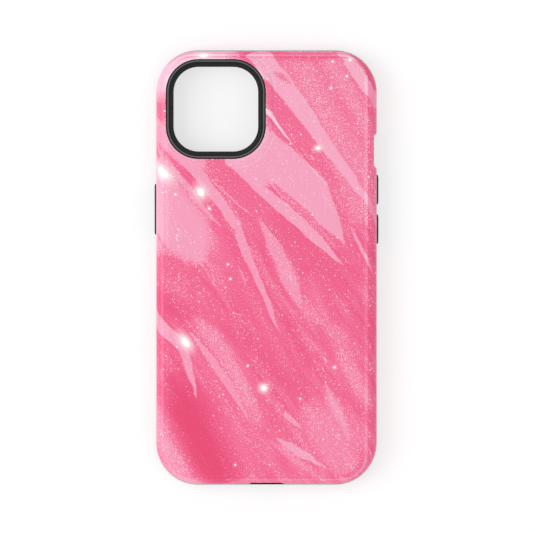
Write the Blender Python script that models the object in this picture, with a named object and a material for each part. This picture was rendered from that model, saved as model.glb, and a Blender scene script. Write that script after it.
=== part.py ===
"""Two-layer phone case: a hard printed outer shell over a soft inner liner, with three button caps.

The case lies on its front rim with its back up, so the phone goes in from below. +X is the right side and
+Y the top edge, seen from the back. The origin is the middle of the bottom of the bounding box. Sizes are in
millimetres. Depths are counted from the flat of the shell's back, growing towards the front rim; height
turns one into a Z coordinate.
"""

import bmesh
import bpy
from mathutils import Vector

MM = 0.001

# The phone that the case is made for
PHONE_WIDTH = 71.5
PHONE_HEIGHT = 146.7
PHONE_THICKNESS = 7.8
PHONE_CORNER = 11.4

# The layers of the wall, from the phone outwards
PHONE_GAP = 0.15
LINER_WALL = 1.5
LAYER_GAP = 0.2
SHELL_WALL = 1.4
BUMPER_PROUD = 0.3  # at the top and bottom ends; it is flush at the sides

# Depths, from the back
COLLAR_RISE = 0.9
ISLAND_RISE = 0.5
SHELL_FLOOR = 1.2
LINER_FLOOR = 1.1
FRONT_GAP = 0.1
LIP_THICKNESS = 1.2
LIP_OVERHANG = 0.9
LIP_EDGE_ROUND = 0.8
BUMPER_DEPTH = 1.8
SHELL_EDGE_ROUND = 3.2
CAVITY_EDGE_ROUND = 1.9
COLLAR_EDGE_ROUND = 0.4
LIP_BACK_ROUND = 0.8
POCKET_FLOOR_ROUND = 1.15

COLLAR_TIP = -COLLAR_RISE
LINER_BACK = SHELL_FLOOR + LAYER_GAP
SEAT = LINER_BACK + LINER_FLOOR
PHONE_MIDDLE = SEAT + PHONE_THICKNESS / 2
LIP_BACK = SEAT + PHONE_THICKNESS + FRONT_GAP
FRONT = LIP_BACK + LIP_THICKNESS
BUMPER_BACK = FRONT - BUMPER_DEPTH
SHELL_FRONT = BUMPER_BACK - LAYER_GAP
PAST = 4.0  # how far a cutter runs past what it cuts

# Outlines, as offsets outwards from the phone's own outline
POCKET_OFFSET = PHONE_GAP
LINER_OFFSET = POCKET_OFFSET + LINER_WALL
CAVITY_OFFSET = LINER_OFFSET + LAYER_GAP
SHELL_OFFSET = CAVITY_OFFSET + SHELL_WALL
SHELL_SIDE = PHONE_WIDTH / 2 + SHELL_OFFSET
SHELL_END = PHONE_HEIGHT / 2 + SHELL_OFFSET
BUMPER_END = SHELL_END + BUMPER_PROUD

# Camera opening, its collar and the raised island round it
CAMERA_X = -17.9
CAMERA_Y = 56.0
COLLAR_SIZE = 34.9
COLLAR_CORNER = 11.4
COLLAR_GAP = 0.15
FUNNEL_MOUTH = 33.3
FUNNEL_THROAT = 29.9
FUNNEL_CORNER = 10.6
ISLAND_RIM = 5.1
ISLAND_INSET = 0.05

# Buttons: middle Y, length and side of the case
SIDE_BUTTON = (20.65, 18.0, -1)
VOLUME_UP_BUTTON = (27.6, 10.5, 1)
VOLUME_DOWN_BUTTON = (13.6, 10.5, 1)
CAP_WIDTH = 3.4
CAP_PROUD = 0.65
CAP_EDGE_ROUND = 0.35
CAP_CLEARANCE = 0.15
FOOT_RIM = 1.0
FOOT_THICKNESS = 0.55
FOOT_INNER = PHONE_WIDTH / 2 + 0.55
FOOT_OUTER = FOOT_INNER + FOOT_THICKNESS
BOSS_RIM = 1.5

# Ring/silent switch opening in the right side, and the recess beside it
SWITCH_Y = 41.3
SWITCH_LENGTH = 8.6
SWITCH_WIDTH = 4.8
SWITCH_NOTCH_BACK = 2.6
SWITCH_RECESS = 1.0
SWITCH_RECESS_LENGTH = 10.7
SWITCH_RECESS_FLARE = 0.9

# Charging port and sound slots in the bottom edge
PORT_LENGTH = 10.6
PORT_WIDTH = 5.4
PORT_RIM = 1.0
PORT_RECESS = 0.45
PORT_RECESS_LENGTH = 10.2
PORT_RECESS_FLARE = 1.5
SOUND_X = 17.0
SOUND_LENGTH = 11.5
SOUND_WIDTH = 2.2
SOUND_STEP = 0.4  # how much further the slot is cut back in the shell

LARGE_CORNER_STEPS = 12
SMALL_CORNER_STEPS = 6
LARGE_EDGE_STEPS = 4
SMALL_EDGE_STEPS = 2

PRINT_PINK = (0.90, 0.14, 0.33, 1.0)
SOFT_BLACK = (0.012, 0.012, 0.013, 1.0)
CAP_BLACK = (0.018, 0.018, 0.020, 1.0)


def height(depth):
    """The Z coordinate of a depth."""
    return FRONT - depth


def clear_scene():
    for obj in list(bpy.data.objects):
        bpy.data.objects.remove(obj, do_unlink=True)


def make_collection(name):
    collection = bpy.data.collections.new(name)
    bpy.context.scene.collection.children.link(collection)
    return collection


def make_material(name, colour, roughness, coat=0.0):
    material = bpy.data.materials.new(name)
    material.use_nodes = True
    shader = material.node_tree.nodes["Principled BSDF"]
    shader.inputs["Base Color"].default_value = colour
    shader.inputs["Roughness"].default_value = roughness
    shader.inputs["Metallic"].default_value = 0.0
    shader.inputs["Coat Weight"].default_value = coat
    return material


def to_world(axis, u, v, w):
    """A point from its place across (u, v) and along (w) an axis, in metres."""
    if axis == "X":
        point = (w, u, v)
    elif axis == "Y":
        point = (u, w, v)
    else:
        point = (u, v, w)
    return Vector(point) * MM


def round_edges(bm, edges, radius, steps):
    bm.normal_update()
    bmesh.ops.bevel(
        bm, geom=edges, offset=radius * MM, segments=steps, profile=0.5, affect="EDGES", clamp_overlap=False
    )


def edges_along(bm, index):
    """The straight edges that run along the axis with this index."""
    return [edge for edge in bm.edges if abs(edge.verts[0].co[index] - edge.verts[1].co[index]) > 1e-6]


def edges_round_end(bm, index, w):
    """The edges round a prism's flat end, at w along the axis with this index."""
    ends = [face for face in bm.faces if all(abs(vert.co[index] - w * MM) < 1e-6 for vert in face.verts)]
    return [edge for face in ends for edge in face.edges]


def prism(name, collection, axis, size, span, centre, corner=0.0, rounds=(0.0, 0.0), taper=(1.0, 1.0)):
    """A rounded rectangle of size (u, v) swept along an axis from span[0] to span[1].

    Its origin is its middle. rounds are the edge radii at the two ends, and taper scales the
    far end in u and v.
    """
    index = "XYZ".index(axis)
    half_length = (span[1] - span[0]) / 2
    bm = bmesh.new()
    bmesh.ops.create_cube(bm, size=1.0)
    for vert in bm.verts:
        u, v, w = vert.co
        scale_u, scale_v = taper if w > 0 else (1.0, 1.0)
        vert.co = to_world(axis, u * size[0] * scale_u, v * size[1] * scale_v, 2 * w * half_length)
    bmesh.ops.recalc_face_normals(bm, faces=bm.faces)
    if corner > 0.0:
        steps = LARGE_CORNER_STEPS if corner > 6.0 else SMALL_CORNER_STEPS
        round_edges(bm, edges_along(bm, index), corner, steps)
    for radius, end in zip(rounds, (-half_length, half_length)):
        if radius > 0.0:
            steps = LARGE_EDGE_STEPS if radius > 1.5 else SMALL_EDGE_STEPS
            round_edges(bm, edges_round_end(bm, index, end), radius, steps)
    bmesh.ops.recalc_face_normals(bm, faces=bm.faces)
    mesh = bpy.data.meshes.new(name)
    bm.to_mesh(mesh)
    bm.free()
    obj = bpy.data.objects.new(name, mesh)
    obj.location = to_world(axis, *centre, (span[0] + span[1]) / 2)
    collection.objects.link(obj)
    return obj


def part(name, *args, **kwargs):
    return prism(name, CASE, *args, **kwargs)


def tool(name, *args, **kwargs):
    """A shape that is only cut from a part or joined to it."""
    obj = prism(name, TOOLS, *args, **kwargs)
    obj.hide_render = True
    obj.display_type = "WIRE"
    return obj


def combine(obj, operation, *others):
    for other in others:
        modifier = obj.modifiers.new(f"{operation.lower()} {other.name}", "BOOLEAN")
        modifier.operation = operation
        modifier.solver = "EXACT"
        modifier.object = other


def finish(obj, material):
    obj.data.materials.append(material)
    obj.data.shade_smooth()
    obj.data.set_sharp_from_angle(angle=0.6)


def slab(make, name, offset, depths, rounds=(0.0, 0.0), end_extra=0.0):
    """A block with the phone's outline, moved outwards by offset, from its front depth to its back depth.

    end_extra moves only the top and bottom ends further out.
    """
    size = (PHONE_WIDTH + 2 * offset, PHONE_HEIGHT + 2 * (offset + end_extra))
    span = [height(depth) for depth in depths]
    return make(name, "Z", size, span, (0.0, 0.0), PHONE_CORNER + offset, rounds)


def camera_block(name, size, corner, depths, rounds=(0.0, 0.0), taper=1.0):
    """A rounded square block on the camera's centre line, from its front depth to its back depth."""
    span = [height(depth) for depth in depths]
    return tool(name, "Z", (size, size), span, (CAMERA_X, CAMERA_Y), corner, rounds, (taper, taper))


def camera_island():
    """The raised field round the camera opening, which runs out over the shell's top left corner."""
    left = -SHELL_SIDE + ISLAND_INSET
    top = SHELL_END - ISLAND_INSET
    right = CAMERA_X + COLLAR_SIZE / 2 + ISLAND_RIM
    bottom = CAMERA_Y - COLLAR_SIZE / 2 - ISLAND_RIM
    size = (right - left, top - bottom)
    edge_round = ISLAND_RISE + SHELL_EDGE_ROUND
    span = (height(SHELL_EDGE_ROUND + 0.3), height(-ISLAND_RISE))
    corner = PHONE_CORNER + SHELL_OFFSET - ISLAND_INSET
    centre = ((left + right) / 2, (top + bottom) / 2)
    return tool("camera_island", "Z", size, span, centre, corner, (0.0, edge_round))


def camera_funnel():
    """The tapered hole through the collar, which narrows from its mouth to the phone's back."""
    slope = (FUNNEL_MOUTH - FUNNEL_THROAT) / (SEAT - COLLAR_TIP)
    mouth = FUNNEL_MOUTH + slope
    throat = FUNNEL_THROAT - slope
    depths = (SEAT + 1.0, COLLAR_TIP - 1.0)
    return camera_block("camera_funnel", throat, FUNNEL_CORNER, depths, taper=mouth / throat)


def side_slot(name, y, length, width, x_span, sign):
    """A round-ended cutter through a side wall, level with the middle of the phone."""
    span = sorted(sign * x for x in x_span)
    corner = width / 2 - 0.2
    return tool(name, "X", (length, width), span, (y, height(PHONE_MIDDLE)), corner)


def shell_notch(name, axis, along, length, back, sign):
    """A cutter through one of the shell's walls that is open towards the front rim."""
    low, high = height(SHELL_FRONT + PAST), height(back)
    inner = PHONE_WIDTH / 2 if axis == "X" else PHONE_HEIGHT / 2
    outer = PAST + (SHELL_SIDE if axis == "X" else SHELL_END)
    span = sorted((sign * inner, sign * outer))
    return tool(name, axis, (length, high - low), span, (along, (low + high) / 2), BOSS_RIM)


def buttons():
    return (
        ("side_button", *SIDE_BUTTON),
        ("volume_up_button", *VOLUME_UP_BUTTON),
        ("volume_down_button", *VOLUME_DOWN_BUTTON),
    )


def button_bosses():
    """(name, middle Y, length, side) of each boss. The two volume caps share one."""
    up_y, up_length, side = VOLUME_UP_BUTTON
    down_y, down_length, _ = VOLUME_DOWN_BUTTON
    top = up_y + up_length / 2 + BOSS_RIM
    bottom = down_y - down_length / 2 - BOSS_RIM
    return (
        ("side", SIDE_BUTTON[0], SIDE_BUTTON[1] + 2 * BOSS_RIM, SIDE_BUTTON[2]),
        ("volume", (top + bottom) / 2, top - bottom, side),
    )


def boss_back():
    return PHONE_MIDDLE - CAP_WIDTH / 2 - BOSS_RIM


def bottom_wall_span():
    """Y from outside the bottom wall to inside the pocket."""
    return (-BUMPER_END - PAST, PAST - PHONE_HEIGHT / 2)


def port_back():
    return PHONE_MIDDLE - PORT_WIDTH / 2 - PORT_RIM


def switch_recess(name):
    """The full-depth recess beside the ring/silent switch, with flared ends."""
    far_length = SWITCH_RECESS_LENGTH + 2 * SWITCH_RECESS_FLARE * PAST / SWITCH_RECESS
    inner = SHELL_SIDE - SWITCH_RECESS
    size = (SWITCH_RECESS_LENGTH, 2 * FRONT)
    taper = (far_length / SWITCH_RECESS_LENGTH, 1.0)
    return tool(name, "X", size, (inner, inner + PAST), (SWITCH_Y, FRONT / 2), taper=taper)


def port_recess():
    """The shallow full-depth recess over the charging port, with flared ends."""
    far_length = PORT_RECESS_LENGTH + 2 * PORT_RECESS_FLARE * PAST / PORT_RECESS
    inner = PORT_RECESS - SHELL_END
    size = (far_length, 2 * FRONT)
    taper = (PORT_RECESS_LENGTH / far_length, 1.0)
    return tool("port_recess", "Y", size, (inner - PAST, inner), (0.0, FRONT / 2), taper=taper)


def sound_slots(name, extra):
    """Cutters for the loudspeaker and microphone slots, one each side of the port."""
    size = (SOUND_LENGTH + 2 * extra, SOUND_WIDTH + 2 * extra)
    span = bottom_wall_span()
    places = (("left", -SOUND_X), ("right", SOUND_X))
    z = height(PHONE_MIDDLE)
    return [tool(f"{name}_{side}", "Y", size, span, (x, z), size[1] / 2 - 0.05) for side, x in places]


def make_outer_shell(material):
    shell = slab(part, "outer_shell", SHELL_OFFSET, (SHELL_FRONT, 0.0), (0.0, SHELL_EDGE_ROUND))
    combine(shell, "UNION", camera_island())
    depths = (SHELL_FRONT + PAST, SHELL_FLOOR)
    cavity = slab(tool, "shell_cavity", CAVITY_OFFSET, depths, (0.0, CAVITY_EDGE_ROUND))
    window_size = COLLAR_SIZE + 2 * COLLAR_GAP
    window = camera_block("shell_window", window_size, COLLAR_CORNER + COLLAR_GAP, (SEAT, -PAST))
    notches = [
        shell_notch(f"{label}_notch", "X", y, length + 2 * LAYER_GAP, boss_back() - LAYER_GAP, sign)
        for label, y, length, sign in button_bosses()
    ]
    notches.append(shell_notch("switch_notch", "X", SWITCH_Y, SWITCH_RECESS_LENGTH, SWITCH_NOTCH_BACK, 1))
    port_notch_length = PORT_LENGTH + 2 * PORT_RIM + 2 * LAYER_GAP
    notches.append(shell_notch("port_notch", "Y", 0.0, port_notch_length, port_back() - LAYER_GAP, -1))
    combine(shell, "DIFFERENCE", cavity, window, *notches)
    combine(shell, "DIFFERENCE", switch_recess("shell_switch_recess"), port_recess())
    combine(shell, "DIFFERENCE", *sound_slots("shell_sound", SOUND_STEP))
    finish(shell, material)


def liner_bosses():
    """The pads on the liner's walls that fill the shell's notches."""
    low = BUMPER_DEPTH / 2
    wall_middle = (POCKET_OFFSET + LINER_OFFSET) / 2
    corner = BOSS_RIM - LAYER_GAP
    high = height(boss_back())
    pads = []
    for label, y, length, sign in button_bosses():
        span = sorted((sign * (PHONE_WIDTH / 2 + wall_middle), sign * SHELL_SIDE))
        pads.append(tool(f"{label}_boss", "X", (length, high - low), span, (y, (low + high) / 2), corner))
    high = height(port_back())
    size = (PORT_LENGTH + 2 * PORT_RIM, high - low)
    span = (PORT_RECESS - SHELL_END, -PHONE_HEIGHT / 2 - wall_middle)
    pads.append(tool("port_boss", "Y", size, span, (0.0, (low + high) / 2), corner))
    return pads


def make_inner_liner(material):
    back_round = CAVITY_EDGE_ROUND - LAYER_GAP
    depths = (FRONT - LIP_THICKNESS / 2, LINER_BACK)
    liner = slab(part, "inner_liner", LINER_OFFSET, depths, (0.0, back_round))
    rim_depths = (FRONT, BUMPER_BACK)
    bumper = slab(tool, "bumper_rim", SHELL_OFFSET, rim_depths, (LIP_EDGE_ROUND, 0.0), BUMPER_PROUD)
    depths = (SEAT - 0.3, COLLAR_TIP)
    collar = camera_block("camera_collar", COLLAR_SIZE, COLLAR_CORNER, depths, (0.0, COLLAR_EDGE_ROUND))
    combine(liner, "UNION", bumper, collar, *liner_bosses())

    rounds = (LIP_BACK_ROUND, POCKET_FLOOR_ROUND)
    pocket = slab(tool, "phone_pocket", POCKET_OFFSET, (LIP_BACK, SEAT), rounds)
    screen = slab(tool, "screen_opening", -LIP_OVERHANG, (FRONT + PAST, PHONE_MIDDLE))
    combine(liner, "DIFFERENCE", pocket, screen, camera_funnel())

    inside, outside = PHONE_WIDTH / 2 - PAST, SHELL_SIDE + PAST
    for name, y, length, sign in buttons():
        room = 2 * CAP_CLEARANCE
        aperture = side_slot(f"{name}_aperture", y, length + room, CAP_WIDTH + room, (inside, outside), sign)
        room += 2 * FOOT_RIM
        floor = FOOT_OUTER + CAP_CLEARANCE
        recess = side_slot(f"{name}_recess", y, length + room, CAP_WIDTH + room, (inside, floor), sign)
        combine(liner, "DIFFERENCE", aperture, recess)

    switch = side_slot("switch_opening", SWITCH_Y, SWITCH_LENGTH, SWITCH_WIDTH, (inside, outside), 1)
    size, centre = (PORT_LENGTH, PORT_WIDTH), (0.0, height(PHONE_MIDDLE))
    port = tool("port_opening", "Y", size, bottom_wall_span(), centre, PORT_WIDTH / 2 - 0.2)
    combine(liner, "DIFFERENCE", switch, switch_recess("bumper_switch_recess"), port)
    combine(liner, "DIFFERENCE", *sound_slots("liner_sound", 0.0))
    finish(liner, material)


def make_button(name, y, length, sign, material):
    """A cap that shows outside, on a wider foot that keeps it in the liner and meets the phone's key."""
    centre = (y, height(PHONE_MIDDLE))
    cap_span = (FOOT_OUTER - 0.1, SHELL_SIDE + CAP_PROUD)
    rounds = (0.0, CAP_EDGE_ROUND)
    if sign < 0:
        cap_span = (-cap_span[1], -cap_span[0])
        rounds = (CAP_EDGE_ROUND, 0.0)
    cap = part(name, "X", (length, CAP_WIDTH), cap_span, centre, CAP_WIDTH / 2 - 0.1, rounds)
    foot_size = (length + 2 * FOOT_RIM, CAP_WIDTH + 2 * FOOT_RIM)
    foot_span = sorted((sign * FOOT_INNER, sign * FOOT_OUTER))
    foot = tool(f"{name}_foot", "X", foot_size, foot_span, centre, foot_size[1] / 2 - 0.1)
    combine(cap, "UNION", foot)
    finish(cap, material)


clear_scene()
CASE = make_collection("phone_case")
TOOLS = make_collection("cutters_and_joins")
TOOLS.hide_render = True

printed_plastic = make_material("printed_plastic", PRINT_PINK, 0.18, coat=1.0)
soft_black = make_material("soft_black", SOFT_BLACK, 0.55)
cap_black = make_material("cap_black", CAP_BLACK, 0.45)

make_outer_shell(printed_plastic)
make_inner_liner(soft_black)
for button_name, button_y, button_length, button_sign in buttons():
    make_button(button_name, button_y, button_length, button_sign, cap_black)
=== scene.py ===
"""Looks of the two-layer phone case: a glossy pink printed shell over a matt black liner with button caps."""
import math

import bmesh
import bpy
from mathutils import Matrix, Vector
from mathutils.geometry import delaunay_2d_cdt


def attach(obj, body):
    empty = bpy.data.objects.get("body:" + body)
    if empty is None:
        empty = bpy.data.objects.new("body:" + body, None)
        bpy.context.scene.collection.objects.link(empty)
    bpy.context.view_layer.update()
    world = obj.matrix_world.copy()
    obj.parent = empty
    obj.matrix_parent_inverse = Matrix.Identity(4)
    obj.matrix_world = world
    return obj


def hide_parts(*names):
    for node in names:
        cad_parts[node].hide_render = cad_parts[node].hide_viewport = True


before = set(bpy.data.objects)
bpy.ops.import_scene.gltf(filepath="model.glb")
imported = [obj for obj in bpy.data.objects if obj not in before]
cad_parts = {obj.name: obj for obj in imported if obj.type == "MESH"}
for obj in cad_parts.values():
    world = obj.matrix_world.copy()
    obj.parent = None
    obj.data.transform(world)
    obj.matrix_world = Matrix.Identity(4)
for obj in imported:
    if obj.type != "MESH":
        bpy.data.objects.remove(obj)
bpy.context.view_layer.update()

MM = 0.001
SHARP_DEGREES = 50.0

# Shapes are worked out in millimetres. X and Y are the frame's own, and a depth is counted from the flat of
# the shell's back towards the front rim that the case lies on.
FRONT = 11.6

# The phone's outline, which every wall of the case runs parallel to
PHONE_HALF_X = 35.75
PHONE_HALF_Y = 73.35
PHONE_CORNER = 11.4

# Offsets outwards from the phone's outline
POCKET_OFFSET = 0.15
LINER_OFFSET = 1.65
CAVITY_OFFSET = 1.85
SHELL_OFFSET = 3.25
LIP_OFFSET = -0.9
BUMPER_PROUD = 0.3
SHELL_HALF_X = PHONE_HALF_X + SHELL_OFFSET
SHELL_HALF_Y = PHONE_HALF_Y + SHELL_OFFSET

# Depths
ISLAND_RISE = 0.5
COLLAR_RISE = 0.9
SHELL_FLOOR = 1.2
LINER_BACK = 1.4
SEAT = 2.5
PHONE_MIDDLE = 6.4
SHELL_FRONT = 9.6
BUMPER_BACK = 9.8
LIP_BACK = 10.4

# Edge rounds
SHELL_ROUND = 3.2
CAVITY_ROUND = 1.9
LINER_ROUND = 1.7
POCKET_ROUND = 1.15
WINDOW_ROUND = 0.25
COLLAR_ROUND = 0.42
SHELL_RIM_ROUND = 0.3

# Flat faces with a rounded edge: offset of their outline, depth of the flat and radius of the edge
CAVITY_FACE = (CAVITY_OFFSET, SHELL_FLOOR, CAVITY_ROUND)
LINER_FACE = (LINER_OFFSET, LINER_BACK, LINER_ROUND)
POCKET_FACE = (POCKET_OFFSET, SEAT, POCKET_ROUND)

# Line where the edge of the back starts to turn down, along which a highlight and shade are painted on the
# print
BORDER_HALF_X = 35.6
BORDER_HALF_Y = 75.6
BORDER_CORNER = 8.5

# Camera opening
CAMERA = (-17.9, 56.0)
COLLAR_HALF = 17.45
COLLAR_CORNER = 11.4
WINDOW_GAP = 0.15
MOUTH_INSET = 0.8
THROAT_INSET = 2.5
SWELL_TOP = 1.4
SWELL_FOOT = 3.5

# Buttons: middle Y, length and side
BUTTONS = {"side": (20.65, 18.0, -1), "volume_up": (27.6, 10.5, 1), "volume_down": (13.6, 10.5, 1)}
CAP_WIDTH = 3.4
CAP_TOP = SHELL_HALF_X + 0.65
CLEARANCE = 0.15
FOOT_RIM = 1.0
FOOT_INNER = 36.3
FOOT_OUTER = 36.85
BOSS_RIM = 1.5
LAYER_GAP = 0.2

# What is left of the flat between the two rounds of a round end
HAIR = 0.02

# Switch opening, charging port and sound slots: places, depths and sizes along the wall and through it
SWITCH_Y = 41.3
SWITCH_BACK = 2.6
SWITCH_OPENING = (8.6, 4.8)
SWITCH_RECESS_LENGTH = 10.7
SWITCH_RECESS_FLARE = 7.2
SWITCH_RECESS_DEPTH = 1.0
PORT_BACK = 2.7
PORT_OPENING = (10.6, 5.4)
PORT_CORNER = 2.5
PORT_HALF_LENGTH = 6.3
PORT_RECESS_LENGTH = 10.2
PORT_RECESS_FLARE = 1.5
PORT_RECESS_DEPTH = 0.45
SOUND_X = 17.0
SOUND_SLOT = (11.5, 2.2)
SOUND_SLOT_GAP = 0.4

# How far cutters reach past the outside of the walls and into the pocket
REACH_OUT = 3.0
REACH_IN = 4.0

# Pads: height of their front edge over the front rim, their inner side in the liner's wall, and their round
PAD_FRONT = 0.9
PAD_INNER = 0.9
PAD_ROUND = 0.2


def edge_arc(distance, radius):
    """How far a rounded edge has dropped at a distance in from its outline."""
    if distance >= radius:
        return 0.0
    return radius - math.sqrt(max(0.0, radius**2 - (radius - distance) ** 2))


def smooth(value):
    value = min(1.0, max(0.0, value))
    return value * value * (3 - 2 * value)


def outside(point, centre, half_x, half_y, corner):
    """Distance of a point outside a rounded rectangle; negative inside."""
    x = abs(point[0] - centre[0]) - (half_x - corner)
    y = abs(point[1] - centre[1]) - (half_y - corner)
    return math.hypot(max(x, 0.0), max(y, 0.0)) + min(max(x, y), 0.0) - corner


def outline(centre, half_x, half_y, corner, arc_steps, run_step):
    """Points of a rounded rectangle, each as (x, y, normal x, normal y), anticlockwise."""
    points = []
    for quarter, (side, end) in enumerate(((1, 1), (-1, 1), (-1, -1), (1, -1))):
        middle_x = centre[0] + side * (half_x - corner)
        middle_y = centre[1] + end * (half_y - corner)
        for step in range(arc_steps + 1):
            angle = (quarter + step / arc_steps) * math.pi / 2
            normal = (math.cos(angle), math.sin(angle))
            points.append((middle_x + corner * normal[0], middle_y + corner * normal[1], *normal))
        run = 2 * (half_x - corner) if quarter % 2 == 0 else 2 * (half_y - corner)
        count = max(1, round(run / run_step))
        x, y, *normal = points[-1]
        along = (-normal[1], normal[0])
        for step in range(1, count):
            go = run * step / count
            points.append((x + along[0] * go, y + along[1] * go, *normal))
    return points


PHONE_OUTLINE = outline((0.0, 0.0), PHONE_HALF_X, PHONE_HALF_Y, PHONE_CORNER, 20, 1.3)
COLLAR_OUTLINE = outline(CAMERA, COLLAR_HALF, COLLAR_HALF, COLLAR_CORNER, 20, 1.0)


def offset_points(points, offset, stretch=0.0):
    """The outline moved outwards. stretch lengthens it towards both ends."""
    scale = 1 + stretch / PHONE_HALF_Y
    return [(x + offset * nx, (y + offset * ny) * scale) for x, y, nx, ny in points]


def lift(points, depth):
    """Outline points at one depth, as places in the frame."""
    return [Vector((x, y, FRONT - depth)) for x, y in points]


def phone_ring(offset, depth, stretch=0.0):
    return lift(offset_points(PHONE_OUTLINE, offset, stretch), depth)


def collar_ring(offset, depth):
    return lift(offset_points(COLLAR_OUTLINE, offset), depth)


def round_profile(start, corner, end, steps):
    """A rounded corner between two points of a profile, as a quarter ellipse tangent to both legs."""
    out = []
    for step in range(steps + 1):
        angle = step / steps * math.pi / 2
        to_start, to_end = 1 - math.sin(angle), 1 - math.cos(angle)
        out.append(tuple(c + (s - c) * to_start + (e - c) * to_end for s, c, e in zip(start, corner, end)))
    return out


def loft(mesh, rings, slot=0, closed_ends=False):
    """Joins rings of points with bands of faces."""
    made = [[mesh.verts.new(point) for point in ring] for ring in rings]
    for low, high in zip(made, made[1:]):
        for i in range(len(low)):
            j = (i + 1) % len(low)
            face = mesh.faces.new((low[i], low[j], high[j], high[i]))
            face.material_index = slot
    if closed_ends:
        for ring in (made[0], made[-1]):
            face = mesh.faces.new(ring)
            face.material_index = slot


def skin(mesh, loops, inner_points, keep, depth_at, slot=0):
    """A curved sheet over the area that keep accepts. loops are closed rows of its edge points."""
    points, edges = [], []
    for loop in loops:
        first = len(points)
        points += loop
        edges += [(first + i, first + (i + 1) % len(loop)) for i in range(len(loop))]
    points += inner_points
    found = delaunay_2d_cdt([Vector(p) for p in points], edges, [], 0, 1e-5)
    verts = [mesh.verts.new((x, y, FRONT - depth_at((x, y)))) for x, y in found[0]]
    for corners in found[2]:
        middle = sum((found[0][i] for i in corners), Vector((0.0, 0.0))) / len(corners)
        if keep(middle):
            face = mesh.faces.new([verts[i] for i in corners])
            face.material_index = slot
    for vert in [v for v in verts if not v.link_faces]:
        mesh.verts.remove(vert)


def finish_mesh(mesh, name, materials):
    """Makes an object of a bmesh, which is used up."""
    bmesh.ops.remove_doubles(mesh, verts=mesh.verts, dist=0.004)
    bmesh.ops.recalc_face_normals(mesh, faces=mesh.faces)
    data = bpy.data.meshes.new(name)
    mesh.to_mesh(data)
    mesh.free()
    piece = bpy.data.objects.new(name, data)
    bpy.context.scene.collection.objects.link(piece)
    for material in materials:
        data.materials.append(material)
    return piece


def block(name, axis, size, span, centre, corner, rounds=(0.0, 0.0), taper=1.0):
    """A rounded bar along X or Y. rounds are its end edges, and taper scales the length of its far end."""
    length = span[1] - span[0]
    stations = []
    for end, radius in enumerate(rounds):
        for step in range(4 if radius else 1):
            angle = step / 3 * math.pi / 2 if radius else 0.0
            inset = radius * (1 - math.sin(angle))
            along = radius * (1 - math.cos(angle))
            stations.append((along, inset) if end == 0 else (length - along, inset))
    stations.sort()
    rings = []
    for along, inset in stations:
        part = along / length
        half_u = (size[0] / 2) * (1 + (taper - 1) * part) - inset
        half_v = size[1] / 2 - inset
        edge = outline((0.0, 0.0), half_u, half_v, min(corner, half_u - 0.01, half_v - 0.01), 10, 99.0)
        spots = [(centre[0] + u, span[0] + along, centre[1] + v) for u, v, *_ in edge]
        rings.append([Vector((w, u, v) if axis == "X" else (u, w, v)) for u, w, v in spots])
    mesh = bmesh.new()
    loft(mesh, rings, closed_ends=True)
    return finish_mesh(mesh, name, [])


def boolean(piece, operation, cutters):
    """Joins or cuts the piece with all the cutters, which are used up."""
    group = bpy.data.collections.new("cutters")
    bpy.context.scene.collection.children.link(group)
    for cutter in cutters:
        bpy.context.scene.collection.objects.unlink(cutter)
        group.objects.link(cutter)
    modifier = piece.modifiers.new(operation.lower(), "BOOLEAN")
    modifier.operation = operation
    modifier.operand_type = "COLLECTION"
    modifier.collection = group
    modifier.solver = "EXACT"
    bpy.context.view_layer.update()
    depsgraph = bpy.context.evaluated_depsgraph_get()
    made = bpy.data.meshes.new_from_object(piece.evaluated_get(depsgraph))
    piece.modifiers.clear()
    piece.data = made
    for cutter in cutters:
        bpy.data.objects.remove(cutter, do_unlink=True)
    bpy.data.collections.remove(group)


def settle(piece, body, node):
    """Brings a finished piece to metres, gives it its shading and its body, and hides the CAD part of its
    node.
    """
    data = piece.data
    for vertex in data.vertices:
        vertex.co *= MM
    data.shade_smooth()
    data.set_sharp_from_angle(angle=math.radians(SHARP_DEGREES))
    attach(piece, body)
    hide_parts(node)


def collar_distance(point, offset):
    """Distance outwards from the collar's outline at an offset."""
    half = COLLAR_HALF + offset
    return outside(point, CAMERA, half, half, COLLAR_CORNER + offset)


def window_distance(point):
    """Distance outwards from the edge of the shell's camera window."""
    return collar_distance(point, WINDOW_GAP)


def inset_of(point, offset):
    """Distance inwards from the phone's outline at an offset."""
    return -outside(point, (0.0, 0.0), PHONE_HALF_X + offset, PHONE_HALF_Y + offset, PHONE_CORNER + offset)


def shell_depth(point):
    """Depth of the shell's outer face: a rounded slab with a smooth swell round the camera window."""
    inset = inset_of(point, SHELL_OFFSET)
    away = window_distance(point)
    plain = edge_arc(inset, SHELL_ROUND)
    raised = edge_arc(inset, SHELL_ROUND + ISLAND_RISE) - ISLAND_RISE
    swell = smooth((SWELL_FOOT - away) / (SWELL_FOOT - SWELL_TOP))
    return plain + (raised - plain) * swell + edge_arc(away, WINDOW_ROUND)


def face_depth(point, face):
    """Depth of one of the flat faces with a rounded edge."""
    offset, flat, radius = face
    return flat + edge_arc(inset_of(point, offset), radius)


def quarter_insets(radius, steps):
    """Insets of rings that follow a rounded edge evenly, without its outermost one."""
    return [radius * (1 - math.cos(step / steps * math.pi / 2)) for step in range(1, steps + 1)]


def grid_points(step, keep):
    columns = int(SHELL_HALF_X / step)
    rows = int(SHELL_HALF_Y / step)
    spots = [(i * step, j * step) for i in range(-columns, columns + 1) for j in range(-rows, rows + 1)]
    return [spot for spot in spots if keep(spot)]


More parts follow.
